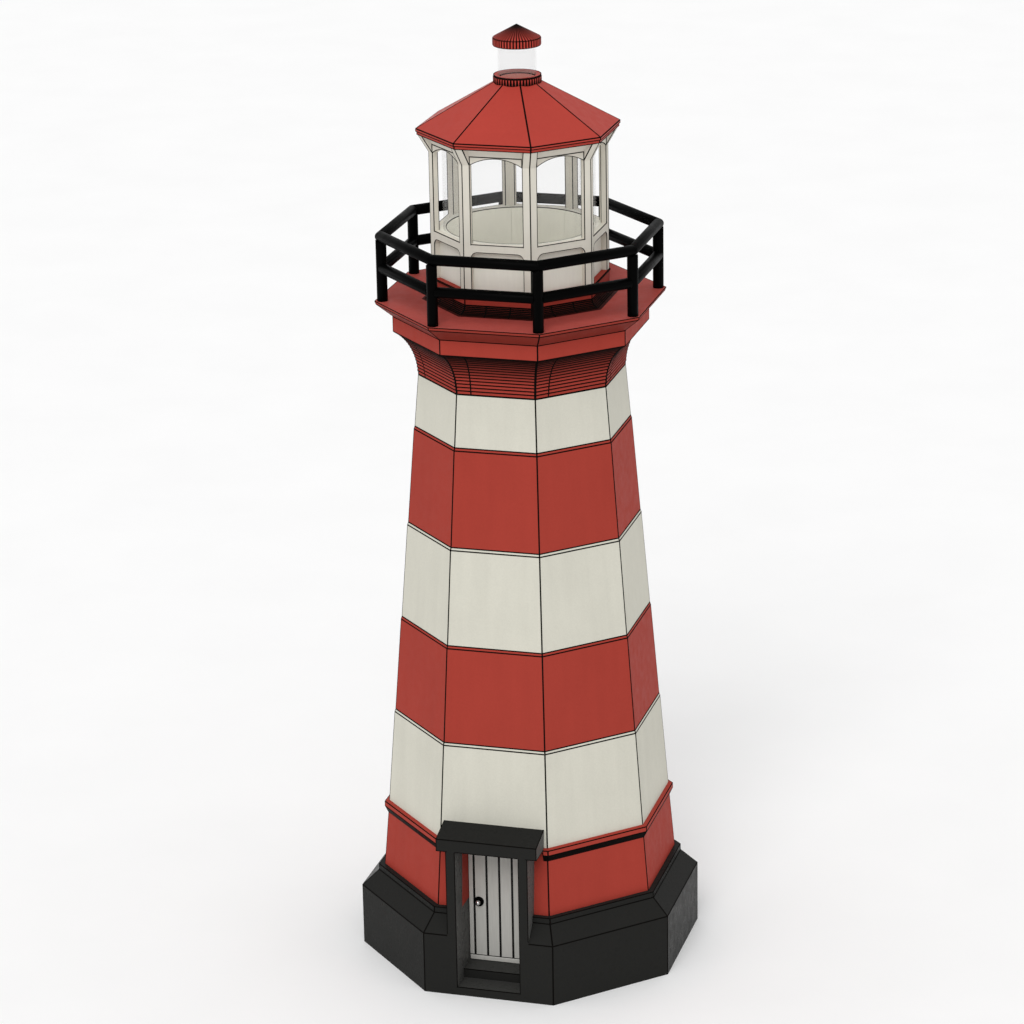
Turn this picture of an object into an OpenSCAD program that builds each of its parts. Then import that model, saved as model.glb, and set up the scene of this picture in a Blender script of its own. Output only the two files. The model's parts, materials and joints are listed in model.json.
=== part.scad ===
/* [Plinth] */
// Width of the plinth across its flats
plinth_af = 5000; // [4800:10:5600]
// Height of the plinth's upright face
plinth_face_h = 1000; // [800:10:1200]
// Height of the sloping shoulder above it
plinth_slope_h = 250; // [150:10:350]
// How far the shoulder slopes in
plinth_slope_in = 254; // [150:2:300]
// Height of the coping course
coping_h = 95; // [60:5:140]
// Width of the ledge on top of the coping
coping_ledge = 90; // [60:2:120]

/* [Tower] */
// How far each wall leans in from the tower's foot to its head
tower_lean = 682; // [500:2:760]
// Thickness of the ground storey's wall at its foot
base_wall_t = 416; // [380:2:500]
// Thickness of the walls above the ground storey
wall_t = 330; // [250:10:400]
// Height of each painted band
band_h = 1545; // [1300:5:1800]
// Height of the topmost band
top_band_h = 820; // [600:10:1000]
// Height of the bevel along the top of each band
bevel_h = 45; // [20:1:80]
// Depth of that bevel
bevel_d = 14; // [5:1:25]
// Height of the slope under the belt course
belt_under_h = 112; // [80:1:140]
// Height of the belt course's upright face
belt_face_h = 83; // [50:1:110]
// Height of the slope on the belt course
belt_slope_h = 18; // [8:1:40]
// How far the belt course stands out
belt_out = 68; // [40:2:90]
// Joint between neighbouring wall panels
joint = 3; // [1:0.5:6]
// Clearance where a piece beds against a leaning or upright face
bed = 0.4; // [0.2:0.1:0.6]

/* [Entrance] */
// Width of the doorway
doorway_w = 1006; // [900:2:1100]
// Height of the doorway above the ground
doorway_h = 2414; // [2300:2:2600]
// How far the opening in the wall runs up behind the lintel
door_head = 26; // [20:1:60]
// Width of each portal post
portal_post_w = 147; // [100:1:180]
// How far the lintel runs past the posts
lintel_end = 148; // [60:2:160]
// Height of the lintel's front face
lintel_face_h = 200; // [140:5:260]
// Rise of the lintel's sloping top
lintel_rise = 117; // [60:1:160]
// Rise of the first step
first_rise = 139; // [100:1:160]
// Rise of the second step
second_rise = 148; // [100:1:160]
// Depth of the first tread
tread = 349; // [280:1:400]

/* [Door] */
// Thickness of the door
leaf_t = 60; // [45:1:80]
// Gap all round the door
leaf_gap = 9; // [9:0.5:12]
// Pitch of the grooves in the door's face
groove_pitch = 205; // [150:1:215]
// Width of each groove
groove_w = 23; // [10:1:30]
// Depth of each groove
groove_d = 12; // [5:1:20]
// Height of the plain strip at the door's foot
kick_h = 80; // [40:5:150]
// Height of the knob above the floor
knob_h = 1010; // [850:5:1150]
// Distance of the knob from the doorway's side
knob_in = 168; // [120:2:220]
// Diameter of the knob's rose
rose_d = 160; // [110:2:190]
// Thickness of the knob's rose
rose_t = 16; // [8:1:25]
// Distance of the knob's centre from its rose
knob_reach = 46; // [45:1:90]
// Diameter of the knob
knob_d = 78; // [60:2:80]
// Radius of each hinge pin
pin_r = 12; // [8:1:14]
// Running clearance round a pin
pin_clear = 0.05; // [0.02:0.01:0.1]
// Thickness of the hinge eye round its pin
eye_wall = 8; // [6:1:12]
// Height of each hinge strap
strap_h = 60; // [40:2:90]
// Length of each hinge strap
strap_l = 640; // [400:10:800]
// Thickness of each hinge strap
strap_t = 16; // [14:1:20]
// Distance of each hinge from the door's end
hinge_in = 330; // [200:10:450]
// Clearance between a hinge eye and the wall
hinge_clear = 6; // [5:0.5:10]
// Height of the lug that carries each pin
lug_h = 42; // [30:1:60]

/* [Gallery] */
// Height of the ribbed cove under the gallery
cove_h = 697; // [600:1:800]
// How far the cove flares out
cove_out = 339; // [250:1:400]
// Number of ribs on the cove
rib_count = 16; // [10:1:20]
// How far each rib stands over the one below
rib_lip = 9; // [4:1:14]
// Height of the frieze
frieze_h = 241; // [180:1:300]
// How far the deck runs out past the frieze
deck_out = 246; // [200:1:300]
// Height of the deck's sloping underside
deck_slope_h = 197; // [150:1:240]
// Height of the deck's edge
deck_edge_h = 53; // [30:1:80]
// How far the deck's edge leans
deck_edge_in = 19; // [5:1:30]

/* [Railing] */
// Diameter of the posts and rails
rail_d = 164; // [100:2:170]
// Distance of the rails' centre from the deck's edge
rail_in = 114; // [95:1:150]
// Height of the top rail's centre above the deck
top_rail_h = 999; // [850:1:1150]
// Height of the middle rail's centre above the deck
mid_rail_h = 511; // [400:1:600]
// Clearance where a rail meets a post
rail_fit = 0.3; // [0.2:0.1:0.5]

/* [Lantern] */
// Width of the gallery from the lantern's face to the deck's edge
gallery_w = 810; // [700:2:900]
// Height of the curb's cove
curb_cove_h = 138; // [90:1:180]
// How far the curb's cove spreads on the deck
curb_cove_out = 149; // [90:1:180]
// Height of the curb's upright face
curb_face_h = 174; // [120:1:220]
// Height of the nosing on the curb
nosing_h = 27; // [15:1:40]
// How far the nosing stands out
nosing_out = 18; // [8:1:30]
// Height of the parapet under the windows
parapet_h = 737; // [600:1:850]
// Height of the rail under each window
sill_rail_h = 123; // [80:1:160]
// Radius of the panels' upper corners
panel_r = 95; // [50:1:130]
// Depth of the lantern's posts and rails
frame_t = 92; // [80:1:95]
// Width of a corner post on each face
post_w = 117; // [90:1:140]
// Thickness of the parapet panels at the middle of each face
panel_t = 51; // [35:1:70]
// Height of the windows' straight sides
window_h = 1193; // [1000:1:1400]
// Rise of each window's arch
arch_rise = 112; // [70:1:150]
// Height of the frame above each arch
crown_h = 21; // [15:1:60]
// Height of the sloping cornice
cornice_h = 134; // [90:1:180]
// Thickness of the curved glass
glass_t = 20; // [12:1:30]
// Clearance round the glass
glass_fit = 2; // [1:0.5:4]

/* [Roof] */
// How far the eaves run out past the lantern's face
eave_out = 175; // [140:1:220]
// How far the eaves stand out past the brackets
eave_reveal = 12; // [6:1:30]
// Height of the eaves' upper strip
eave_upper_h = 44; // [25:1:60]
// Height of the eaves' lower strip
eave_lower_h = 48; // [25:1:60]
// How far the lower strip is set in
eave_step = 16; // [5:1:20]
// Rise of the roof from the eaves to the collar
roof_rise = 638; // [500:1:800]
// Upright thickness of the roof
roof_t = 70; // [50:1:100]
// Radius of the collar and the cap
collar_r = 356; // [330:1:400]
// Height of the collar above the roof
collar_h = 122; // [80:1:160]
// Radius of the vent's glass tube
vent_r = 292; // [270:1:310]
// Thickness of the vent's glass tube
vent_t = 15; // [10:1:20]
// Length of glass that shows between the collar and the cap
vent_h = 438; // [300:1:550]
// Depth of the seats that hold the vent's glass
vent_seat = 40; // [25:1:60]
// Width of the ledge that the vent's glass stands on
vent_ledge = 20; // [16:1:30]
// Clearance round the vent's glass
vent_fit = 0.6; // [0.4:0.1:1]
// Height of the cap's rim
cap_rim_h = 118; // [90:1:160]
// Height of the cap's cone
cap_cone_h = 198; // [120:1:260]

/* [Hidden] */
$fn = 64;
sides = 8;
turn = 360 / sides;
half_turn = turn / 2;
all_faces = [0:sides - 1];
side_faces = [1:sides - 1];

plinth_a = plinth_af / 2;
shoulder_a = plinth_a - plinth_slope_in;
shoulder_z = plinth_face_h + plinth_slope_h;
foot_z = shoulder_z + coping_h;
foot_a = shoulder_a - coping_ledge;
head_a = foot_a - tower_lean;
room_a = foot_a - base_wall_t;

belt_z = doorway_h + door_head;
bands_z = [for (i = [0:4]) belt_z + i * band_h];
head_z = bands_z[4] + top_band_h;
taper = (foot_a - head_a) / (head_z - foot_z);
function wall_a(z) = foot_a - taper * (z - foot_z);
// Face of a painted band, which runs a little out of the taper up to its bevel
function band_a(i, z) = let (z0 = bands_z[i], z1 = bands_z[i + 1])
  wall_a(z0) + (wall_a(z1) + bevel_d - wall_a(z0)) * (z - z0) / (z1 - bevel_h - z0);

floor_z = first_rise + second_rise;
side_x = doorway_w / 2;
portal_x = side_x + portal_post_w;
lintel_x = portal_x + lintel_end;
lintel_z = doorway_h + lintel_face_h;
lintel_back_z = lintel_z + lintel_rise;

leaf_x = side_x - leaf_gap;
leaf_z = floor_z + leaf_gap;
leaf_top_z = belt_z - leaf_gap;
leaf_front_y = -room_a - leaf_t;
eye_r = pin_r + eye_wall;
hinge_x = side_x;
hinge_y = -room_a + eye_r + hinge_clear;
hinges_z = [leaf_z + hinge_in, leaf_top_z - hinge_in];
knob_x = knob_in - side_x;
knob_z = floor_z + knob_h;

cove_sweep = 70;
frieze_a = head_a + cove_out;
frieze_z = head_z + cove_h;
deck_under_z = frieze_z + frieze_h;
deck_a = frieze_a + deck_out;
deck_z = deck_under_z + deck_slope_h + deck_edge_h;

rail_r = rail_d / 2;
rail_a = deck_a - rail_in;
rail_corner = rail_a / cos(half_turn);
top_rail_z = deck_z + top_rail_h;
mid_rail_z = deck_z + mid_rail_h;
cope = 0.6;
post_top_z = top_rail_z - cope * rail_r;

lantern_a = deck_a - gallery_w;
panel_a = lantern_a - frame_t;
lantern_room_r = panel_a - panel_t;
curb_z = deck_z + curb_cove_h + curb_face_h + nosing_h;
sill_z = curb_z + parapet_h;
spring_z = sill_z + window_h;
crown_z = spring_z + arch_rise;
cornice_z = crown_z + crown_h;
eave_z = cornice_z + cornice_h;
bracket_out = eave_out - eave_step - eave_reveal;
bracket_lean = bracket_out / (eave_z - spring_z);
window_x = lantern_a * tan(half_turn) - post_w;
arch_r = (window_x * window_x + arch_rise * arch_rise) / (2 * arch_rise);
frame_back_a = panel_a + bed;
glass_r = panel_a - glass_fit;

eave_a = lantern_a + eave_out;
eave_step_z = eave_z + eave_lower_h;
roof_z = eave_step_z + eave_upper_h;
roof_slope = roof_rise / (eave_a - collar_r);
collar_foot_z = roof_z + roof_rise - roof_t;
collar_z = roof_z + roof_rise + collar_h;
collar_bore_r = vent_r - vent_ledge;
cap_z = collar_z + vent_h;

red = [0.66, 0.25, 0.21];
white = [0.85, 0.84, 0.79];
black = [0.14, 0.14, 0.13];
grey = [0.66, 0.65, 0.62];
iron = [0.09, 0.09, 0.09];
steel = [0.75, 0.75, 0.76];
clear = [0.85, 0.9, 0.92, 0.35];

// Outline of [distance from the axis, height] points, drawn out sideways along the front face
module along_face(outline) {
  rotate([90, 0, -90]) linear_extrude(2 * plinth_af, center = true) polygon(outline);
}

// One eighth of the plan about the front face, short of its mitre lines by half a joint
module sector(gap = joint) {
  apex = gap / 2 / sin(half_turn);
  reach = plinth_af;
  wide = (reach - apex) * tan(half_turn);
  linear_extrude(2 * cap_z) polygon([[0, -apex], [wide, -reach], [-wide, -reach]]);
}

// One mitred panel of an octagonal course, on each of the named faces
module panels(outline, faces = all_faces, gap = joint) {
  for (i = faces) rotate(turn * i) intersection() {
    along_face(outline);
    sector(gap);
  }
}

// The front panel's stretch on one side of the doorway, from x outwards
module front_panel(outline, x, side) {
  intersection() {
    panels(outline, [0]);
    translate([side > 0 ? x : -plinth_af, -plinth_af, -1]) cube([plinth_af - x, plinth_af, 2 * cap_z]);
  }
}

// Whole octagonal solid from a list of [apothem, height] points
module octagon(outline) {
  last = len(outline) - 1;
  mirrored = [for (i = [last:-1:0]) [-outline[i][0], outline[i][1]]];
  intersection_for (i = [0:sides / 2 - 1]) rotate(turn * i) along_face(concat(outline, mirrored));
}

// Upright plate on the front face, drawn in elevation, between two distances from the axis
module front_plate(near, far) {
  translate([0, -near, 0]) rotate([90, 0, 0]) linear_extrude(far - near) children();
}

function box_outline(a0, a1, z0, z1) = [[a1, z0], [a1, z1], [a0, z1], [a0, z0]];

plinth_outline = [[plinth_a, 0], [plinth_a, plinth_face_h], [shoulder_a, shoulder_z],
  [room_a, shoulder_z], [room_a, 0]];
coping_outline = box_outline(room_a, shoulder_a, shoulder_z, foot_z);
base_outline = [[foot_a, foot_z], [wall_a(belt_z), belt_z], [room_a, belt_z], [room_a, foot_z]];
belt_top_z = belt_z - belt_slope_h;
belt_face_z = belt_top_z - belt_face_h;
belt_foot_z = belt_face_z - belt_under_h;
belt_face_a = wall_a(belt_z) + belt_out;
belt_outline = [[wall_a(belt_foot_z) + bed, belt_foot_z], [belt_face_a, belt_face_z],
  [belt_face_a, belt_top_z], [wall_a(belt_z) + bed, belt_z]];

module plinth_walls() {
  color(black) panels(plinth_outline, side_faces);
}

module plinth_front_left() {
  color(black) front_panel(plinth_outline, portal_x, -1);
}

module plinth_front_right() {
  color(black) front_panel(plinth_outline, portal_x, 1);
}

module plinth_coping() {
  color(black) {
    panels(coping_outline, side_faces);
    front_panel(coping_outline, portal_x, -1);
    front_panel(coping_outline, portal_x, 1);
  }
}

module ground_floor() {
  color(grey) octagon([[room_a, 0], [room_a, floor_z]]);
}

module entrance_step() {
  color(black) translate([-side_x, -plinth_a, 0]) cube([doorway_w, tread, first_rise]);
}

module entrance_threshold() {
  color(black) translate([-side_x, -plinth_a + tread, 0])
    cube([doorway_w, plinth_a - tread - room_a, floor_z]);
}

// Portal post: as deep as the plinth below, and back to the tower's wall above
module portal_post(side) {
  outline = [[plinth_a, 0], [plinth_a, doorway_h], [wall_a(doorway_h) + bed, doorway_h],
    [foot_a + bed, foot_z], [room_a, foot_z], [room_a, 0]];
  intersection() {
    along_face(outline);
    translate([side > 0 ? side_x : -portal_x, -plinth_af, -1])
      cube([portal_post_w, plinth_af, 2 * doorway_h]);
  }
}

module portal_post_left() {
  color(black) portal_post(-1);
}

module portal_post_right() {
  color(black) portal_post(1);
}

// The lintel's sloping top runs up to the tower's wall
module portal_lintel() {
  outline = [[plinth_a, doorway_h], [plinth_a, lintel_z], [band_a(0, lintel_back_z) + bed, lintel_back_z],
    [band_a(0, belt_z) + bed, belt_z], [wall_a(doorway_h) + bed, doorway_h]];
  color(black) intersection() {
    along_face(outline);
    translate([-lintel_x, -plinth_af, 0]) cube([2 * lintel_x, plinth_af, 2 * lintel_back_z]);
  }
}

module base_wall() {
  color(red) panels(base_outline, side_faces);
}

module entrance_wall_left() {
  color(red) front_panel(base_outline, side_x, -1);
}

module entrance_wall_right() {
  color(red) front_panel(base_outline, side_x, 1);
}

module belt_course() {
  color(red) {
    panels(belt_outline, side_faces);
    front_panel(belt_outline, lintel_x, -1);
    front_panel(belt_outline, lintel_x, 1);
  }
}

// Painted band of wall panels, with a small bevel along its top
module band(i) {
  z0 = bands_z[i];
  z1 = bands_z[i + 1];
  panels([[wall_a(z0), z0], [band_a(i, z1 - bevel_h), z1 - bevel_h], [wall_a(z1), z1],
    [wall_a(z1) - wall_t, z1], [wall_a(z0) - wall_t, z0]]);
}

module white_band_lower() {
  color(white) band(0);
}

module red_band_lower() {
  color(red) band(1);
}

module white_band_middle() {
  color(white) band(2);
}

module red_band_upper() {
  color(red) band(3);
}

module white_band_upper() {
  z0 = bands_z[4];
  color(white) panels([[wall_a(z0), z0], [head_a, head_z], [head_a - wall_t, head_z],
    [wall_a(z0) - wall_t, z0]]);
}

// Point on the cove's curve, from 0 at its foot to 1 at its head
function cove_point(t) = [
  head_a + cove_out * (1 - cos(cove_sweep * t)) / (1 - cos(cove_sweep)),
  head_z + cove_h * sin(cove_sweep * t) / sin(cove_sweep)];

// Each rib overhangs the one below it by a small lip
module gallery_cove() {
  ribs = [for (i = [0:rib_count - 1])
    let (low = cove_point(i / rib_count), high = cove_point((i + 1) / rib_count))
    each [[low[0] + (i == 0 ? 0 : rib_lip), low[1]], high]];
  color(red) panels(concat(ribs, [[head_a - wall_t, frieze_z], [head_a - wall_t, head_z]]));
}

module gallery_frieze() {
  color(red) panels(box_outline(head_a - wall_t, frieze_a, frieze_z, deck_under_z));
}

module gallery_deck() {
  color(red) octagon([[frieze_a, deck_under_z], [deck_a - deck_edge_in, deck_z - deck_edge_h],
    [deck_a, deck_z]]);
}

// Upright at the front right corner of the railing's line
module rail_corner_post(r, z0, z1) {
  rotate(half_turn) translate([0, -rail_corner, z0]) cylinder(r = r, h = z1 - z0);
}

// Level bar along the front face
module rail_bar(r, z, length = plinth_a) {
  translate([0, -rail_a, z]) rotate([0, 90, 0]) cylinder(r = r, h = length, center = true);
}

// Posts are coped to the underside of the top rail
module railing_posts() {
  color(iron) for (i = all_faces) rotate(turn * i) difference() {
    rail_corner_post(rail_r, deck_z, post_top_z);
    rail_bar(rail_r + rail_fit, top_rail_z);
    rotate(turn) rail_bar(rail_r + rail_fit, top_rail_z);
  }
}

module top_rail() {
  color(iron) for (i = all_faces) rotate(turn * i) intersection() {
    rail_bar(rail_r, top_rail_z);
    sector(1);
  }
}

// Middle rails are coped to the posts at both ends
module mid_rail() {
  length = 2 * rail_a * tan(half_turn) - 2 * cope * rail_r;
  color(iron) for (i = all_faces) rotate(turn * i) difference() {
    rail_bar(rail_r, mid_rail_z, length);
    rail_corner_post(rail_r + rail_fit, deck_z, top_rail_z);
    rotate(-turn) rail_corner_post(rail_r + rail_fit, deck_z, top_rail_z);
  }
}

// Part of the plan outside a radius, on one face
module outside(r, z0, z1) {
  difference() {
    children();
    translate([0, 0, z0 - 1]) cylinder(r = r, h = z1 - z0 + 2, $fn = 128);
  }
}

// Hollow cove on the deck, an upright face and a nosing
module lantern_curb() {
  steps = 8;
  cove = [for (i = [0:steps]) let (t = 90 * i / steps)
    [lantern_a + curb_cove_out * (1 - sin(t)), deck_z + curb_cove_h * (1 - cos(t))]];
  nosing_z = curb_z - nosing_h;
  nosing_a = lantern_a + nosing_out;
  head = [[lantern_a, nosing_z], [nosing_a, nosing_z], [nosing_a, curb_z], [0, curb_z], [0, deck_z]];
  color(red) outside(lantern_room_r, deck_z, curb_z) panels(concat(cove, head));
}

// Recessed panels of the parapet, round inside
module lantern_panels() {
  color(white) outside(lantern_room_r, curb_z, sill_z) panels(box_outline(0, panel_a, curb_z, sill_z));
}

// Space between two posts of one face: square to the face, then flaring so that brackets keep their width
module bay(z0, z1, clear = 0) {
  x = window_x - clear;
  far = lantern_a + 2 * eave_out;
  flare = 2 * eave_out * tan(half_turn);
  right = [[x, 0], [x, -lantern_a], [x + flare, -far]];
  left = [for (i = [2:-1:0]) [-right[i][0], right[i][1]]];
  translate([0, 0, z0]) linear_extrude(z1 - z0) polygon(concat(right, left));
}

// Corner posts: a mitred pair of boards in front of the panels and the glass, leaning out as brackets
module lantern_posts() {
  color(white) difference() {
    octagon([[lantern_a, curb_z], [lantern_a, spring_z], [lantern_a + bracket_out, eave_z]]);
    octagon([[frame_back_a, curb_z - 1], [frame_back_a, eave_z + 1]]);
    for (i = all_faces) rotate(turn * i) bay(curb_z - 1, eave_z + 1);
  }
}

// Rail under each window, with rounded corners over the panel below
module lantern_sills() {
  panel_top = sill_z - sill_rail_h;
  foot = panel_top - 0.85 * panel_r;
  color(white) for (i = all_faces) rotate(turn * i) front_plate(frame_back_a, lantern_a) difference() {
    translate([-window_x, foot]) square([2 * window_x, sill_z - foot]);
    translate([panel_r - window_x, curb_z]) square([2 * (window_x - panel_r), panel_top - curb_z]);
    for (x = [panel_r - window_x, window_x - panel_r]) translate([x, panel_top - panel_r]) circle(panel_r);
  }
}

module lantern_arches() {
  color(white) for (i = all_faces) rotate(turn * i) front_plate(frame_back_a, lantern_a) difference() {
    translate([-window_x, spring_z]) square([2 * window_x, cornice_z - spring_z]);
    translate([0, crown_z - arch_r]) circle(arch_r, $fn = 128);
  }
}

// Sloping strips between the brackets
module lantern_cornice() {
  out = lantern_a + bracket_lean * cornice_h;
  color(white) for (i = all_faces) rotate(turn * i) intersection() {
    along_face([[lantern_a, cornice_z], [out, eave_z], [frame_back_a, eave_z], [frame_back_a, cornice_z]]);
    bay(cornice_z, eave_z, bed);
  }
}

// Curved panes that meet behind the posts
module lantern_glass() {
  color(clear) for (i = all_faces) rotate(turn * i) intersection() {
    translate([0, 0, sill_z]) difference() {
      cylinder(r = glass_r, h = eave_z - sill_z, $fn = 128);
      translate([0, 0, -1]) cylinder(r = glass_r - glass_t, h = cap_z, $fn = 128);
    }
    sector();
  }
}

module eaves() {
  low_a = eave_a - eave_step;
  outline = [[low_a, eave_z], [low_a, eave_step_z], [eave_a, eave_step_z], [eave_a, roof_z],
    [0, roof_z], [0, eave_z]];
  color(red) outside(lantern_room_r, eave_z, roof_z) panels(outline);
}

// Eight sloping panels, open at the top for the collar
module roof_panels() {
  peak_z = roof_z + roof_slope * eave_a;
  color(red) outside(collar_r, roof_z, peak_z)
    panels([[eave_a, roof_z], [0, peak_z], [0, peak_z - roof_t], [eave_a - roof_t / roof_slope, roof_z]]);
}

module vent_collar() {
  color(red) rotate_extrude($fn = 96) polygon([[collar_bore_r, collar_foot_z], [collar_r, collar_foot_z],
    [collar_r, collar_z], [vent_r + vent_fit, collar_z], [vent_r + vent_fit, collar_z - vent_seat],
    [collar_bore_r, collar_z - vent_seat]]);
}

module vent_glass() {
  color(clear) translate([0, 0, collar_z - vent_seat]) difference() {
    cylinder(r = vent_r, h = vent_h + 2 * vent_seat, $fn = 96);
    translate([0, 0, -1]) cylinder(r = vent_r - vent_t, h = vent_h + 3 * vent_seat, $fn = 96);
  }
}

// Conical cap, hollowed to take the glass
module vent_cap() {
  seat_z = cap_z + vent_seat;
  rim_z = cap_z + cap_rim_h;
  socket_r = vent_r + vent_fit;
  color(red) rotate_extrude($fn = 96) polygon([[socket_r, cap_z], [collar_r, cap_z], [collar_r, rim_z],
    [0, rim_z + cap_cone_h], [0, rim_z], [collar_bore_r, seat_z], [socket_r, seat_z]]);
}

// Boarded door: a plain strip at the foot, grooves between the boards
module door_leaf() {
  color(grey) difference() {
    translate([-leaf_x, leaf_front_y, leaf_z]) cube([2 * leaf_x, leaf_t, leaf_top_z - leaf_z]);
    for (i = [-2:2]) translate([i * groove_pitch - groove_w / 2, leaf_front_y - 1, leaf_z + kick_h])
      cube([groove_w, groove_d + 1, leaf_top_z]);
  }
}

// Places a fitting on the outside of the door and its twin on the inside
module both_sides() {
  translate([knob_x, leaf_front_y, knob_z]) rotate([90, 0, 0]) children();
  translate([knob_x, -room_a, knob_z]) rotate([-90, 0, 0]) children();
}

module door_roses() {
  color(iron) both_sides() cylinder(r = rose_d / 2, h = rose_t);
}

// Neck and ball
module door_knobs() {
  neck_r = 0.3 * knob_d;
  color(steel) both_sides() translate([0, 0, rose_t]) {
    cylinder(r = neck_r, h = knob_reach);
    translate([0, 0, knob_reach]) sphere(r = knob_d / 2);
  }
}

// Straps on the inside of the door, each with an eye round its pin
module door_hinges() {
  color(iron) for (z = hinges_z) difference() {
    union() {
      translate([leaf_x - strap_l, -room_a, z - strap_h / 2]) cube([strap_l, strap_t, strap_h]);
      translate([hinge_x, hinge_y, z - strap_h / 2]) cylinder(r = eye_r, h = strap_h);
    }
    translate([hinge_x, hinge_y, z - strap_h]) cylinder(r = pin_r + pin_clear, h = 2 * strap_h);
  }
}

// Lugs let into the wall, each with a pin that stands up through the door's eye
module door_pintles() {
  seat_gap = 0.5;
  lug_w = 2 * eye_r;
  color(iron) for (z = hinges_z) {
    lug_z = z - strap_h / 2 - seat_gap - lug_h;
    translate([hinge_x, hinge_y, lug_z]) cylinder(r = eye_r, h = lug_h);
    translate([hinge_x, hinge_y - eye_r, lug_z]) cube([lug_w, 2 * eye_r, lug_h]);
    translate([hinge_x + hinge_clear, -room_a, lug_z]) cube([lug_w - hinge_clear, lug_w, lug_h]);
    translate([hinge_x, hinge_y, lug_z]) cylinder(r = pin_r, h = lug_h + seat_gap + strap_h + pin_r);
  }
}

plinth_walls();
plinth_front_left();
plinth_front_right();
plinth_coping();
ground_floor();
entrance_step();
entrance_threshold();
portal_post_left();
portal_post_right();
portal_lintel();
base_wall();
entrance_wall_left();
entrance_wall_right();
belt_course();
white_band_lower();
red_band_lower();
white_band_middle();
red_band_upper();
white_band_upper();
gallery_cove();
gallery_frieze();
gallery_deck();
railing_posts();
top_rail();
mid_rail();
lantern_curb();
lantern_panels();
lantern_posts();
lantern_sills();
lantern_arches();
lantern_cornice();
lantern_glass();
eaves();
roof_panels();
vent_collar();
vent_glass();
vent_cap();
door_leaf();
door_roses();
door_knobs();
door_hinges();
door_pintles();
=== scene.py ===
import json
import math

import bmesh
import bpy
from mathutils import Matrix, Vector
from mathutils.bvhtree import BVHTree


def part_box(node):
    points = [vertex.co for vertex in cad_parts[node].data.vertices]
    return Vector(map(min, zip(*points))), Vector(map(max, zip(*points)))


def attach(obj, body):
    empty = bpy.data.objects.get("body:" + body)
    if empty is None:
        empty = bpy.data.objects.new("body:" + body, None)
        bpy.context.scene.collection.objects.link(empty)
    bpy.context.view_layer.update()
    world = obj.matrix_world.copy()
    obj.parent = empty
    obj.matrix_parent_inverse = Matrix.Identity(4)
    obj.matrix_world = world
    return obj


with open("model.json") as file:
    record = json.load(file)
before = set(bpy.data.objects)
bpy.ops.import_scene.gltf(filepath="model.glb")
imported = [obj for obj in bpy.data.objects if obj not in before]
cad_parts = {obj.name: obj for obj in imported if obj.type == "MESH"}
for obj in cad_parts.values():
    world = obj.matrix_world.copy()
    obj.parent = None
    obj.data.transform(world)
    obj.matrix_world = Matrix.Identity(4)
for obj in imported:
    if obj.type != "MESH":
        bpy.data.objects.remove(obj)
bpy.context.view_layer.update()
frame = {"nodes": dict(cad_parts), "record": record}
nodes = frame["nodes"]

# Camera as fitted to the photograph, in metres, degrees and millimetres
CAMERA_PLACE = Vector((14.361, -50.651, 25.393))
CAMERA_TARGET = Vector((0.0, 0.0, 7.129))
CAMERA_ROLL = -0.973
CAMERA_SIGHT = 500.0
LENS = 126.62
SENSOR = 36.0
FRAME_PIXELS = 1024
AXIS_PIXEL_OFFSET = 12.716

# Studio: strength of the lights, with angles in degrees and sizes in metres
WORLD_STRENGTH = 0.78
KEY_STRENGTH = 1.1
KEY_SPREAD = 30
KEY_AZIMUTH = 2
KEY_ELEVATION = 45
FILL_WATTS = 22.0
FILL_R = 0.4
FLOOR_R = 400.0
FLOOR_SEGMENTS = 64

# Colours as linear red, green, blue
RED = (0.348, 0.0455, 0.0318)
ROOF_RED = (0.423, 0.051, 0.037)
# A paler red on the vent's faces that look towards the axis
PALE_INWARD_RED = (0.62, 0.245, 0.2)
# Painted light: a lighter red on the top of the gallery's deck
LIT_DECK_RED = (0.45, 0.08, 0.066)
WHITE = (0.609, 0.595, 0.516)
TRIM_WHITE = (0.67, 0.64, 0.56)
# Painted light: a lighter copy of the trim's white, for the lantern's panels and the inside of the roof
LIT_PANEL_WHITE = (0.75, 0.74, 0.66)
BLACK = (0.018, 0.018, 0.0168)
# Painted sheen: a lighter black on the portal's upright sides
REVEAL_SHEEN_BLACK = (0.085, 0.084, 0.08)
# Painted light: a lighter black on the tops of the steps
LIT_TREAD_BLACK = (0.05, 0.05, 0.047)
IRON = (0.001, 0.001, 0.001)
BOARD_GREY = (0.53, 0.52, 0.485)
PLASTER = (0.62, 0.61, 0.57)
STONE = (0.26, 0.25, 0.23)
# Near black for dark joints and soot, and for painted shade under the belt and in the coves
JOINT_SOOT_SHADE_DARK = (0.004, 0.0035, 0.003)
STEEL = (0.78, 0.78, 0.78)
GLASS = (0.5, 0.5, 0.5)
FLOOR = (0.95, 0.95, 0.95)

# Where masks begin, as shares of a face's normal
LOOKS_UP = 0.5
LOOKS_DOWN = -0.3
LOOKS_SIDEWAYS = 0.9
LOOKS_INWARD = -0.5
LOOKS_OUTWARD = 0.3

# Painted shade in the coves, and soot on the vent's cap: how dark they get, and where they begin and end
COVE_SHADE = 0.9
COVE_SHADE_START = 0.3
SOOT = 0.95
SOOT_FOOT = 0.02
SOOT_TOP = 0.04

# Usual range of a noise value
NOISE_LOW = 0.3
NOISE_HIGH = 0.7

# The octagon, and how far masks reach past the lantern's room and the portal
SIDES = 8
LANTERN_R = 1.106
ROOM_MARGIN = 0.1
PORTAL_MARGIN = 0.001

# Rounding of the CAD edges that get any, by slot, in metres
ROUNDED = {"black_iron": 0.002, "door_boards": 0.003, "stone_floor": 0.004}
ROUND_SEGMENTS = 2
ROUND_LEAST = math.radians(28)
ROUND_WELD = 0.00005

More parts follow.
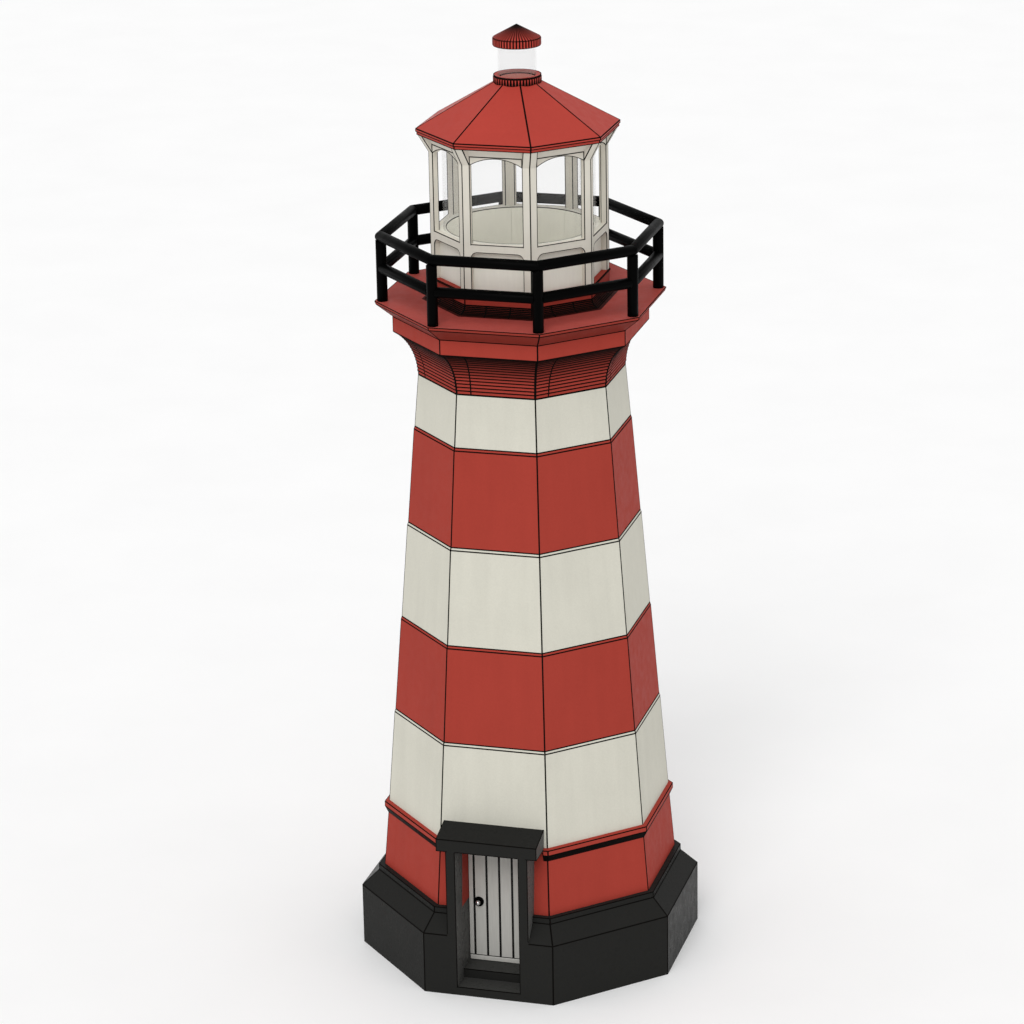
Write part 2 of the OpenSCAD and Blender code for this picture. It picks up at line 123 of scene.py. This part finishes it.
# Half widths of the dark pointing along edges, in metres
WALL_LINE = 0.010
COVE_LINE = 0.017
ROOF_LINE = 0.011
LANTERN_LINE = 0.009
CURB_LINE = 0.012
VENT_LINE = 0.011

# How far the pointing stands out and reaches in, and the least edge that gets it
LINE_LIFT = 0.002
LINE_ROOT = 0.004
SHORTEST_LINE = 0.004
LEAST_ANGLE = 12
CURB_LEAST_ANGLE = 6
VENT_LEAST_ANGLE = 25

# How edges are cleaned, and tested for a neighbour that runs on flush with them
WELD = 0.0001
FLAT = math.radians(0.5)
SAMPLE = 0.06
BESIDE = 0.006
ABOVE = 0.010
FLUSH = 0.0006

# Upright seams, by their distance from the middle of each face
COVE_SEAMS = (-0.385,)
CURB_SEAMS = (-0.187, 0.187)
CURB_COVE_H = 0.138
SEAM_POINTS = 40
SEAM_START = 0.3

# Pleats round the vent's cap and collar
PLEATS = 48
PLEAT_W = 0.024
PLEAT_DEPTH = 0.008
PLEAT_FLANK = 0.7
CAP_RIM_H = 0.118
RIM_FOOT = 0.012
RIM_TOP = 0.01
CONE_TIP_R = 0.04
CONE_TIP_W = 0.001
CONE_TIP_DEPTH = 0.002
COLLAR_SINK = 0.04
COLLAR_LIP = 0.012
COLLAR_FOOT = 0.03
COLLAR_FOOT_W = 0.002
COLLAR_TOP = 0.016

# Dark skin under the pleats
SKIN_SEGMENTS = 96
SKIN_LIFT = 0.001
SKIN_LEAST_R = 0.001
SKIN_FOOT = 0.001
SKIN_TIP_R = 0.004

# Door: its grooves, and the weather bar on its foot
GROOVE_PITCH = 0.205
GROOVE_LINE = 0.018
DOOR_FOOT_H = 0.08
FOOT_SEAM = 0.014
BAR_END = 0.012
BAR_SINK = 0.0005
BAR_FOOT = 0.004
BAR_DEPTH = 0.009
BAR_NOSE = 0.018
BAR_TOP = 0.008
BAR_TOP_DEPTH = 0.003


class Shader:
    """A new material, with short ways to add and link its nodes."""

    def __init__(self, name, roughness, metallic=0.0, specular=0.5):
        self.material = bpy.data.materials.new(name)
        self.material.use_nodes = True
        self.tree = self.material.node_tree
        self.surface = self.tree.nodes["Principled BSDF"]
        self.surface.inputs["Roughness"].default_value = roughness
        self.surface.inputs["Metallic"].default_value = metallic
        self.surface.inputs["Specular IOR Level"].default_value = specular
        self.place = self.add("ShaderNodeTexCoord").outputs["Object"]

    def add(self, kind, **settings):
        node = self.tree.nodes.new(kind)
        for key, value in settings.items():
            setattr(node, key, value)
        return node

    def feed(self, socket, value):
        """Links a socket's value, or sets a plain one."""
        if isinstance(value, bpy.types.NodeSocket):
            self.tree.links.new(value, socket)
        else:
            socket.default_value = value

    def feed_colour(self, socket, colour):
        self.feed(socket, colour if isinstance(colour, bpy.types.NodeSocket) else (*colour, 1.0))

    def math(self, operation, first, second=0.0):
        node = self.add("ShaderNodeMath", operation=operation)
        self.feed(node.inputs[0], first)
        self.feed(node.inputs[1], second)
        return node.outputs[0]

    def both(self, first, second):
        """1 where both masks are 1."""
        return self.math("MULTIPLY", first, second)

    def near(self, value, target, margin):
        """1 where a value lies within a margin of the target."""
        found = self.math("COMPARE", value, target)
        found.node.inputs[2].default_value = margin
        return found

    def noise(self, scale, detail=3.0, stretch=(1, 1, 1), roughness=0.55):
        moved = self.add("ShaderNodeMapping")
        moved.inputs["Scale"].default_value = stretch
        self.feed(moved.inputs["Vector"], self.place)
        node = self.add("ShaderNodeTexNoise")
        node.inputs["Scale"].default_value = scale
        node.inputs["Detail"].default_value = detail
        node.inputs["Roughness"].default_value = roughness
        self.feed(node.inputs["Vector"], moved.outputs[0])
        return node.outputs["Fac"]

    def between(self, value, low, high, out_low=0.0, out_high=1.0):
        node = self.add("ShaderNodeMapRange")
        self.feed(node.inputs["Value"], value)
        limits = {"From Min": low, "From Max": high, "To Min": out_low, "To Max": out_high}
        for key, number in limits.items():
            node.inputs[key].default_value = number
        return node.outputs[0]

    def vary(self, noise, low, high):
        """A noise value spread from low to high."""
        return self.between(noise, NOISE_LOW, NOISE_HIGH, low, high)

    def mix(self, share, first, second, blend="MIX"):
        node = self.add("ShaderNodeMix", data_type="RGBA", blend_type=blend)
        self.feed(node.inputs["Factor"], share)
        for name, colour in (("A", first), ("B", second)):
            self.feed_colour(next(s for s in node.inputs if s.name == name and s.type == "RGBA"), colour)
        return next(s for s in node.outputs if s.type == "RGBA")

    def cover(self, colour, areas):
        """colour, with another one on each (mask, colour) area."""
        for mask, other in areas:
            colour = self.mix(mask(self), colour, other)
        return colour

    def shade(self, colour, *amounts):
        """colour times the grey values that sockets give."""
        for amount in amounts:
            grey = self.add("ShaderNodeCombineColor")
            for channel in ("Red", "Green", "Blue"):
                self.feed(grey.inputs[channel], amount)
            colour = self.mix(1.0, colour, grey.outputs[0], "MULTIPLY")
        return colour

    def bump(self, height, distance, strength, below=None):
        node = self.add("ShaderNodeBump")
        node.inputs["Distance"].default_value = distance
        node.inputs["Strength"].default_value = strength
        self.feed(node.inputs["Height"], height)
        if below is not None:
            self.feed(node.inputs["Normal"], below)
        return node.outputs[0]

    def component(self, vector, name):
        split = self.add("ShaderNodeSeparateXYZ")
        self.feed(split.inputs[0], vector)
        return split.outputs[name]

    def normal(self):
        """The face's own normal."""
        return self.add("ShaderNodeNewGeometry").outputs["True Normal"]

    def axis(self, name):
        return self.component(self.place, name)

    def facing(self, name):
        return self.component(self.normal(), name)

    def from_axis(self):
        """Distance from the tower's axis."""
        x, y = self.axis("X"), self.axis("Y")
        squared = self.math("ADD", self.math("MULTIPLY", x, x), self.math("MULTIPLY", y, y))
        return self.math("SQRT", squared)

    def inward(self):
        """1 on faces that look towards the tower's axis, 0 elsewhere."""
        flat = self.add("ShaderNodeVectorMath", operation="MULTIPLY")
        flat.inputs[1].default_value = (1, 1, 0)
        self.feed(flat.inputs[0], self.place)
        unit = self.add("ShaderNodeVectorMath", operation="NORMALIZE")
        self.feed(unit.inputs[0], flat.outputs[0])
        dot = self.add("ShaderNodeVectorMath", operation="DOT_PRODUCT")
        self.feed(dot.inputs[0], unit.outputs[0])
        self.feed(dot.inputs[1], self.normal())
        return self.math("LESS_THAN", dot.outputs["Value"], LOOKS_INWARD)

    def finish(self, colour, normal=None, roughness=None):
        self.feed_colour(self.surface.inputs["Base Color"], colour)
        if normal is not None:
            self.feed(self.surface.inputs["Normal"], normal)
        if roughness is not None:
            self.feed(self.surface.inputs["Roughness"], roughness)
        return self.material


def span(node):
    low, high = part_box(node)
    return low.z, high.z


def reach(node):
    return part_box(node)[1].x


def looks_up(s):
    return s.math("GREATER_THAN", s.facing("Z"), LOOKS_UP)


def looks_down(s):
    return s.math("LESS_THAN", s.facing("Z"), LOOKS_DOWN)


def over_room(s):
    """Where a part is the floor or the ceiling of the lantern's room."""
    return s.math("LESS_THAN", s.from_axis(), LANTERN_R + ROOM_MARGIN)


def room_floor(s):
    return s.both(looks_up(s), over_room(s))


def room_ceiling(s):
    return s.both(looks_down(s), over_room(s))


def reveal_sheen(s):
    """Upright sides of the portal, painted lighter than the walls as a painted sheen."""
    side = reach("portal_lintel") + PORTAL_MARGIN
    within = s.math("LESS_THAN", s.math("ABSOLUTE", s.axis("X")), side)
    sideways = s.math("GREATER_THAN", s.math("ABSOLUTE", s.facing("X")), LOOKS_SIDEWAYS)
    return s.both(within, sideways)


def cove_painted_shade(s):
    """Painted shade, darker towards the gallery, where the ribs lie close together in its shade."""
    low, high = span("gallery_cove")
    return s.between(s.axis("Z"), low + COVE_SHADE_START * (high - low), high, 0.0, COVE_SHADE)


def curb_painted_shade(s):
    """Painted shade, darker towards the deck in the curb's hollow cove."""
    foot = span("lantern_curb")[0]
    return s.between(s.axis("Z"), foot + CURB_COVE_H, foot, 0.0, COVE_SHADE)


def cap_top(s):
    """Sooty towards the tip of the vent's cap."""
    low, high = span("vent_cap")
    return s.between(s.axis("Z"), low + CAP_RIM_H + SOOT_FOOT, high - SOOT_TOP, 0.0, SOOT)


def masonry(name, colour, roughness=0.5, specular=0.03, streak=0.05, relief=1.0, areas=()):
    """Brushed paint over a fine render, with other colours on the (mask, colour) areas, and painted shade on
    faces that look down.
    """
    s = Shader(name, roughness, specular=specular)
    cloud = s.vary(s.noise(0.9, 4), 0.97, 1.03)
    streaks = s.between(s.noise(5.0, 4, (1, 1, 0.08)), 0.35, 0.75, 1.0, 1.0 - streak)
    speck = s.vary(s.noise(38.0, 2), 0.975, 1.025)
    # painted shade: faces that look down get darker, down to half as bright
    under = s.between(s.facing("Z"), -0.8, -0.1, 0.5, 1.0)
    tone = s.shade(s.cover(colour, areas), cloud, streaks, speck, under)
    trowel = s.bump(s.noise(2.6, 3), 0.012, 0.35 * relief)
    grain = s.bump(s.noise(85.0, 4), 0.0025, 0.45 * relief, trowel)
    return s.finish(tone, grain, s.vary(s.noise(7.0, 3), roughness - 0.07, roughness + 0.07))


def paint(name, colour, roughness=0.4, specular=0.05, areas=()):
    """Brushed gloss paint: slight tone shift, brush marks and a fine orange peel."""
    s = Shader(name, roughness, specular=specular)
    cloud = s.vary(s.noise(1.7, 3), 0.97, 1.03)
    brush = s.vary(s.noise(24.0, 3, (1, 1, 0.12)), 0.98, 1.02)
    tone = s.shade(s.cover(colour, areas), cloud, brush)
    wave = s.bump(s.noise(4.0, 2), 0.004, 0.3)
    peel = s.bump(s.noise(160.0, 2), 0.0008, 0.35, wave)
    return s.finish(tone, peel, s.vary(s.noise(9.0, 3), roughness - 0.06, roughness + 0.06))


def boards(name):
    """Painted door boards: grain along each board, a tone of its own for each, dark grooves."""
    s = Shader(name, 0.55, specular=0.2)
    low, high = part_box("door_leaf")
    across = s.math("DIVIDE", s.axis("X"), GROOVE_PITCH)
    chance = s.add("ShaderNodeTexWhiteNoise", noise_dimensions="1D")
    s.feed(chance.inputs["W"], s.math("FLOOR", across))
    own_tone = s.between(chance.outputs["Value"], 0.0, 1.0, 0.95, 1.04)
    grain = s.noise(9.0, 5, (6, 6, 0.35), 0.6)
    tone = s.shade(BOARD_GREY, own_tone, s.vary(grain, 0.92, 1.04))
    off_groove = s.math("ABSOLUTE", s.math("SUBTRACT", across, s.math("ROUND", across)))
    in_groove = s.math("LESS_THAN", off_groove, GROOVE_LINE / GROOVE_PITCH)
    foot = low.z + DOOR_FOOT_H
    groove = s.both(in_groove, s.math("GREATER_THAN", s.axis("Z"), foot))
    seam = s.near(s.axis("Z"), foot, FOOT_SEAM / 2)
    front = s.math("LESS_THAN", s.axis("Y"), (low.y + high.y) / 2)
    tone = s.mix(s.both(s.math("MAXIMUM", groove, seam), front), tone, JOINT_SOOT_SHADE_DARK)
    return s.finish(tone, s.bump(grain, 0.0012, 0.5))


def glass(name, least, most):
    """Clear glass: nearly all light passes, a little more is mirrored at a glance."""
    s = Shader(name, 0.05, specular=0.3)
    weight = s.add("ShaderNodeLayerWeight")
    weight.inputs["Blend"].default_value = 0.25
    s.feed(s.surface.inputs["Alpha"], s.between(weight.outputs["Fresnel"], 0.0, 1.0, least, most))
    return s.finish(s.shade(GLASS, s.vary(s.noise(1.3, 2), 0.97, 1.0)))


def metal(name):
    """Brushed steel with faint turning marks."""
    s = Shader(name, 0.3, metallic=1.0)
    marks = s.noise(120.0, 2, (1, 6, 1))
    return s.finish(s.shade(STEEL, s.vary(marks, 0.94, 1.04)), s.bump(marks, 0.0003, 0.3))


def floor_finish(name):
    s = Shader(name, 0.9, specular=0.1)
    return s.finish(s.shade(FLOOR, s.vary(s.noise(0.4, 3), 0.99, 1.01)))


INSIDE = (Shader.inward, PLASTER)
DARK_STONE = {"colour": BLACK, "roughness": 0.3, "specular": 0.02, "streak": 0.0, "relief": 0.2}
RECIPES = {
    # the portal's upright sides carry a painted sheen
    "black_stone": (masonry, {**DARK_STONE, "areas": [(reveal_sheen, REVEAL_SHEEN_BLACK), INSIDE]}),
    # the tops of the steps are painted lighter, as painted light
    "step_stone": (masonry, {**DARK_STONE, "areas": [(looks_up, LIT_TREAD_BLACK)]}),
    "stone_floor": (masonry, {"colour": STONE, "roughness": 0.7}),
    "red_wall": (masonry, {"colour": RED, "areas": [INSIDE]}),
    # painted shade: the belt's underside is near black
    "red_belt_painted_shade": (masonry, {"colour": RED, "areas": [INSIDE, (looks_down, JOINT_SOOT_SHADE_DARK)]}),
    # painted shade: the cove gets darker towards the gallery
    "red_cove_painted_shade": (masonry, {"colour": RED, "areas": [INSIDE, (cove_painted_shade, JOINT_SOOT_SHADE_DARK)]}),
    # the deck's top is painted lighter, as painted light
    "red_deck_painted_light": (masonry, {"colour": RED, "areas": [(looks_up, LIT_DECK_RED), (room_floor, PLASTER)]}),
    # painted shade: the curb's cove gets darker towards the deck
    "red_curb_painted_shade": (masonry, {"colour": RED, "areas": [(curb_painted_shade, JOINT_SOOT_SHADE_DARK), INSIDE]}),
    "white_wall": (masonry, {"colour": WHITE, "areas": [INSIDE]}),
    "white_paint": (paint, {"colour": TRIM_WHITE}),
    # the lantern's panels get the lighter white, as painted light
    "lit_panel_paint": (paint, {"colour": LIT_PANEL_WHITE}),
    # inside, the roof is painted in the panels' lighter white
    "red_roof": (paint, {"colour": ROOF_RED, "areas": [(room_ceiling, LIT_PANEL_WHITE),
                                                       (Shader.inward, LIT_PANEL_WHITE)]}),
    # the vent's faces that look towards the axis get a paler red
    "red_metal": (paint, {"colour": ROOF_RED, "areas": [(cap_top, JOINT_SOOT_SHADE_DARK),
                                                        (Shader.inward, PALE_INWARD_RED)]}),
    "black_iron": (paint, {"colour": IRON, "specular": 0.02}),
    "clear_glass": (glass, {"least": 0.03, "most": 0.10}),
    "vent_glass": (glass, {"least": 0.05, "most": 0.06}),
    "door_boards": (boards, {}),
    "door_trim": (paint, {"colour": BOARD_GREY}),
    "bright_metal": (metal, {}),
    "joint_dark": (masonry, {"colour": JOINT_SOOT_SHADE_DARK, "roughness": 0.8, "specular": 0.02, "streak": 0.0}),
}
FINISHES = {name: make(name, **values) for name, (make, values) in RECIPES.items()}

# Nodes whose finish isn't that of their slot
OWN_FINISH = {"entrance_step": "step_stone", "entrance_threshold": "step_stone", "belt_course": "red_belt_painted_shade",
              "gallery_cove": "red_cove_painted_shade", "gallery_deck": "red_deck_painted_light", "lantern_curb": "red_curb_painted_shade",
              "lantern_panels": "lit_panel_paint", "vent_collar": "red_metal", "vent_glass": "vent_glass",
              "vent_cap": "red_metal"}


def dress(node, finish, edge):
    """Gives a CAD node its finish, and rounds its edges a little."""
    cad = nodes[node]
    cad.data.materials.clear()
    cad.data.materials.append(FINISHES[finish])
    if edge:
        weld = cad.modifiers.new("weld", "WELD")
        weld.merge_threshold = ROUND_WELD
        bevel = cad.modifiers.new("edges", "BEVEL")
        bevel.width = edge
        bevel.segments = ROUND_SEGMENTS
        bevel.limit_method = "ANGLE"
        bevel.angle_limit = ROUND_LEAST
        bevel.harden_normals = True


def add_to_scene(name, data):
    made = bpy.data.objects.new(name, data)
    bpy.context.scene.collection.objects.link(made)
    return made


def add_piece(name, bm, finishes, body="tower"):
    """Turns a bmesh into a piece that rides on a body."""
    bmesh.ops.recalc_face_normals(bm, faces=bm.faces)
    mesh = bpy.data.meshes.new(name)
    bm.to_mesh(mesh)
    bm.free()
    made = add_to_scene(name, mesh)
    for finish in finishes:
        made.data.materials.append(FINISHES[finish])
    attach(made, body)


def all_faces():
    """Every CAD face at rest, to see what lies beside an edge."""
    corners, faces = [], []
    for node in nodes.values():
        first = len(corners)
        corners += [v.co.copy() for v in node.data.vertices]
        faces += [[first + i for i in p.vertices] for p in node.data.polygons]
    return BVHTree.FromPolygons(corners, faces)


everything = all_faces()


def outward(normal, place):
    return normal.dot(Vector((place.x, place.y, 0)).normalized()) > LOOKS_OUTWARD


def flush(place, normal, into):
    """Whether a neighbouring piece carries a face on past its edge."""
    start = place - into * BESIDE + normal * ABOVE
    hit = everything.ray_cast(start, -normal, 2 * ABOVE)
    return hit[0] is not None and abs(hit[3] - ABOVE) < FLUSH


def creases(node, least, hollow, inside):
    """Edges of a CAD node above the ground, with the two faces that meet there."""
    bm = bmesh.new()
    bm.from_mesh(nodes[node].data)
    bmesh.ops.remove_doubles(bm, verts=bm.verts, dist=WELD)
    bmesh.ops.dissolve_limit(bm, angle_limit=FLAT, verts=bm.verts, edges=bm.edges)
    found = []
    for edge in bm.edges:
        if len(edge.link_loops) != 2 or edge.calc_length() < SHORTEST_LINE:
            continue
        angle = edge.calc_face_angle_signed()
        if (abs(angle) if hollow else angle) < math.radians(least):
            continue
        first, second = (v.co.copy() for v in edge.verts)
        if max(first.z, second.z) < WELD:
            continue
        sides = []
        for loop in edge.link_loops:
            normal = loop.face.normal.copy()
            along = loop.link_loop_next.vert.co - loop.vert.co
            sides.append((normal, normal.cross(along).normalized()))
        if inside or any(outward(normal, (first + second) / 2) for normal, _ in sides):
            found.append((first, second, sides))
    bm.free()
    return found


def shown_runs(first, second, sides):
    """Stretches of an edge where neither face runs on flush into a neighbour."""
    count = max(1, round((second - first).length / SAMPLE))
    runs = []
    for i in range(count):
        place = first.lerp(second, (i + 0.5) / count)
        if any(flush(place, normal, into) for normal, into in sides):
            continue
        if runs and runs[-1][1] == i:
            runs[-1][1] = i + 1
        else:
            runs.append([i, i + 1])
    return [(first.lerp(second, a / count), first.lerp(second, b / count)) for a, b in runs]


def band(bm, first, second):
    """Faces between two rings of as many corners."""
    for i in range(len(first)):
        j = (i + 1) % len(first)
        bm.faces.new((first[i], first[j], second[j], second[i]))


def prism(bm, rings):
    """Joins rings of corners into one closed bar."""
    made = [[bm.verts.new(corner) for corner in ring] for ring in rings]
    for first, second in zip(made, made[1:]):
        band(bm, first, second)
    for end in (made[0], made[-1]):
        bm.faces.new(end)


def edge_lines(node, half_width, least=LEAST_ANGLE, hollow=False, inside=False):
    """Thin dark pointing along the edges of a CAD node."""
    bm = bmesh.new()
    for first, second, sides in creases(node, least, hollow, inside):
        (normal_a, into_a), (normal_b, into_b) = sides
        middle = (normal_a + normal_b).normalized()
        section = (-middle * half_width, into_a * half_width + normal_a * LINE_LIFT, middle * LINE_LIFT,
                   into_b * half_width + normal_b * LINE_LIFT)
        for run in shown_runs(first, second, sides):
            prism(bm, [[end + offset for offset in section] for end in run])
    add_piece(node + "_lines", bm, ["joint_dark"])


def seam_lines(node, offsets, height=None):
    """Upright pointing on the eight faces of a course, at distances from each face's middle."""
    low, high = span(node)
    high = high if height is None else low + height
    start = reach(node) + SEAM_START
    corners = ((-WALL_LINE, -LINE_ROOT), (WALL_LINE, -LINE_ROOT), (WALL_LINE, LINE_LIFT),
               (-WALL_LINE, LINE_LIFT))
    bm = bmesh.new()
    for side in range(SIDES):
        turn = 2 * math.pi * side / SIDES
        normal = Vector((math.sin(turn), -math.cos(turn), 0))
        along = Vector((math.cos(turn), math.sin(turn), 0))
        section = [along * x + normal * y for x, y in corners]
        for offset in offsets:
            rings = []
            for i in range(SEAM_POINTS):
                z = low + (high - low) * (i + 0.5) / SEAM_POINTS
                hit = everything.ray_cast(normal * start + along * offset + Vector((0, 0, z)), -normal)[0]
                rings.append([hit + corner for corner in section])
            prism(bm, rings)
    add_piece(node + "_seams", bm, ["joint_dark"])


def around(radius, angle, z):
    return Vector((radius * math.cos(angle), radius * math.sin(angle), z))


def dark_skin(name, profile):
    """Thin dark skin turned round the axis along (radius, height) points."""
    bm = bmesh.new()
    outside = [(r + SKIN_LIFT, z) for r, z in profile]
    inside = [(max(r - LINE_ROOT, SKIN_LEAST_R), z) for r, z in reversed(profile)]
    angles = [2 * math.pi * i / SKIN_SEGMENTS for i in range(SKIN_SEGMENTS)]
    rings = [[bm.verts.new(around(r, angle, z)) for angle in angles] for r, z in outside + inside]
    for first, second in zip(rings, rings[1:] + rings[:1]):
        band(bm, first, second)
    add_piece(name, bm, ["joint_dark"])


def pleats(name, *sections):
    """Raised pleats with dark flanks, through rings of a (radius, height, width, depth) each."""
    bm = bmesh.new()
    for i in range(PLEATS):
        middle = 2 * math.pi * (i + 0.5) / PLEATS
        rings = []
        for radius, z, width, depth in sections:
            half = width / 2 / radius
            corners = ((-LINE_ROOT, -half), (depth, -half), (depth, half), (-LINE_ROOT, half))
            rings.append([around(radius + rise, middle + turn, z) for rise, turn in corners])
        prism(bm, rings)
    bm.normal_update()
    for face in bm.faces:
        place = face.calc_center_median()
        sideways = Vector((-place.y, place.x, 0)).normalized()
        face.material_index = int(abs(face.normal.dot(sideways)) > PLEAT_FLANK)
    add_piece(name, bm, ["red_metal", "joint_dark"])


def cap_dressing():
    """Pleats on the rim and on the cone of the vent's cap."""
    low, high = span("vent_cap")
    r = reach("vent_cap")
    rim_z = low + CAP_RIM_H

    def on_cone(radius):
        return radius, high - (high - rim_z) * radius / r

    dark_skin("cap_skin", [(r, low + SKIN_FOOT), (r, rim_z), on_cone(SKIN_TIP_R)])
    pleats("cap_rim_pleats", (r, low + RIM_FOOT, PLEAT_W, PLEAT_DEPTH),
           (r, rim_z - RIM_TOP, PLEAT_W, PLEAT_DEPTH))
    pleats("cap_cone_pleats", (*on_cone(r - RIM_TOP), PLEAT_W, PLEAT_DEPTH),
           (*on_cone(CONE_TIP_R), CONE_TIP_W, CONE_TIP_DEPTH))


def collar_dressing():
    """Pleats round the vent's collar, narrow at their feet."""
    r = reach("vent_collar")
    low = span("roof_panels")[1] - COLLAR_SINK
    high = span("vent_collar")[1] - COLLAR_LIP
    dark_skin("collar_skin", [(r, low), (r, high)])
    pleats("collar_pleats", (r, low + COLLAR_FOOT, COLLAR_FOOT_W, PLEAT_DEPTH),
           (r, high - COLLAR_TOP, PLEAT_W, PLEAT_DEPTH))


def door_foot_bar():
    """Weather bar across the door's foot, with a sloping top."""
    low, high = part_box("door_leaf")
    end = high.x - BAR_END
    face = low.y + BAR_SINK
    foot = low.z + BAR_FOOT
    top = low.z + DOOR_FOOT_H
    outline = [(face, foot), (face - BAR_DEPTH, foot), (face - BAR_DEPTH, top - BAR_NOSE),
               (face - BAR_TOP_DEPTH, top - BAR_TOP), (face, top - BAR_TOP)]
    bm = bmesh.new()
    prism(bm, [[Vector((x, y, z)) for y, z in outline] for x in (-end, end)])
    add_piece("door_foot_bar", bm, ["door_trim"], "door")


def camera():
    back = (CAMERA_PLACE - CAMERA_TARGET).normalized()
    level = Vector((0, 0, 1)).cross(back).normalized()
    rise = back.cross(level)
    roll = math.radians(CAMERA_ROLL)
    right = level * math.cos(roll) + rise * math.sin(roll)
    up = rise * math.cos(roll) - level * math.sin(roll)
    data = bpy.data.cameras.new("camera")
    data.lens = LENS
    data.sensor_width = SENSOR
    data.shift_x = -AXIS_PIXEL_OFFSET / FRAME_PIXELS
    data.clip_end = CAMERA_SIGHT
    made = add_to_scene("camera", data)
    made.matrix_world = Matrix.Translation(CAMERA_PLACE) @ Matrix((right, up, back)).transposed().to_4x4()
    bpy.context.scene.camera = made


def key_light():
    """One broad, soft key from the front."""
    data = bpy.data.lights.new("key", "SUN")
    data.energy = KEY_STRENGTH
    data.angle = math.radians(KEY_SPREAD)
    made = add_to_scene("key", data)
    a, e = math.radians(KEY_AZIMUTH), math.radians(KEY_ELEVATION)
    source = Vector((math.sin(a) * math.cos(e), -math.cos(a) * math.cos(e), math.sin(e)))
    made.rotation_mode = "QUATERNION"
    made.rotation_quaternion = source.to_track_quat("Z", "Y")


def lantern_fill():
    """Soft light inside the lantern, so that its room isn't gloomy under the roof."""
    data = bpy.data.lights.new("lantern_fill", "POINT")
    data.energy = FILL_WATTS
    data.shadow_soft_size = FILL_R
    made = add_to_scene("lantern_fill", data)
    made.location = (0, 0, sum(span("lantern_glass")) / 2)
    made.visible_camera = False
    made.visible_glossy = False


def studio():
    """Pale floor, white surroundings and soft light."""
    bm = bmesh.new()
    bmesh.ops.create_circle(bm, cap_ends=True, segments=FLOOR_SEGMENTS, radius=FLOOR_R)
    mesh = bpy.data.meshes.new("studio_floor")
    bm.to_mesh(mesh)
    bm.free()
    ground = add_to_scene("studio_floor", mesh)
    ground.data.materials.append(floor_finish("studio_floor"))
    world = bpy.data.worlds.new("studio")
    world.use_nodes = True
    world.node_tree.nodes["Background"].inputs["Color"].default_value = (1, 1, 1, 1)
    world.node_tree.nodes["Background"].inputs["Strength"].default_value = WORLD_STRENGTH
    bpy.context.scene.world = world
    key_light()
    lantern_fill()
    bpy.context.scene.view_settings.view_transform = "Standard"


WALL_NODES = ("plinth_walls", "plinth_front_left", "plinth_front_right", "plinth_coping", "portal_post_left",
              "portal_post_right", "portal_lintel", "entrance_step", "entrance_threshold", "base_wall",
              "entrance_wall_left", "entrance_wall_right", "belt_course", "white_band_lower",
              "red_band_lower", "white_band_middle", "red_band_upper", "white_band_upper", "gallery_frieze",
              "gallery_deck")
POINTING = [
    (WALL_NODES, {"half_width": WALL_LINE}),
    (("eaves", "roof_panels"), {"half_width": ROOF_LINE}),
    (("lantern_posts", "lantern_panels"), {"half_width": LANTERN_LINE, "inside": True}),
    (("lantern_sills", "lantern_arches", "lantern_cornice"), {"half_width": LANTERN_LINE}),
    (("gallery_cove",), {"half_width": COVE_LINE}),
    (("lantern_curb",), {"half_width": CURB_LINE, "least": CURB_LEAST_ANGLE, "hollow": True}),
    (("vent_collar",), {"half_width": VENT_LINE, "least": VENT_LEAST_ANGLE, "inside": True}),
]

for part in frame["record"]["subparts"]:
    slot = part["material_slot"]
    dress(part["node"], OWN_FINISH.get(part["node"], slot), ROUNDED.get(slot, 0.0))
for group, style in POINTING:
    for node in group:
        edge_lines(node, **style)
seam_lines("gallery_cove", COVE_SEAMS)
seam_lines("lantern_curb", CURB_SEAMS, CURB_COVE_H)
cap_dressing()
collar_dressing()
door_foot_bar()
camera()
studio()
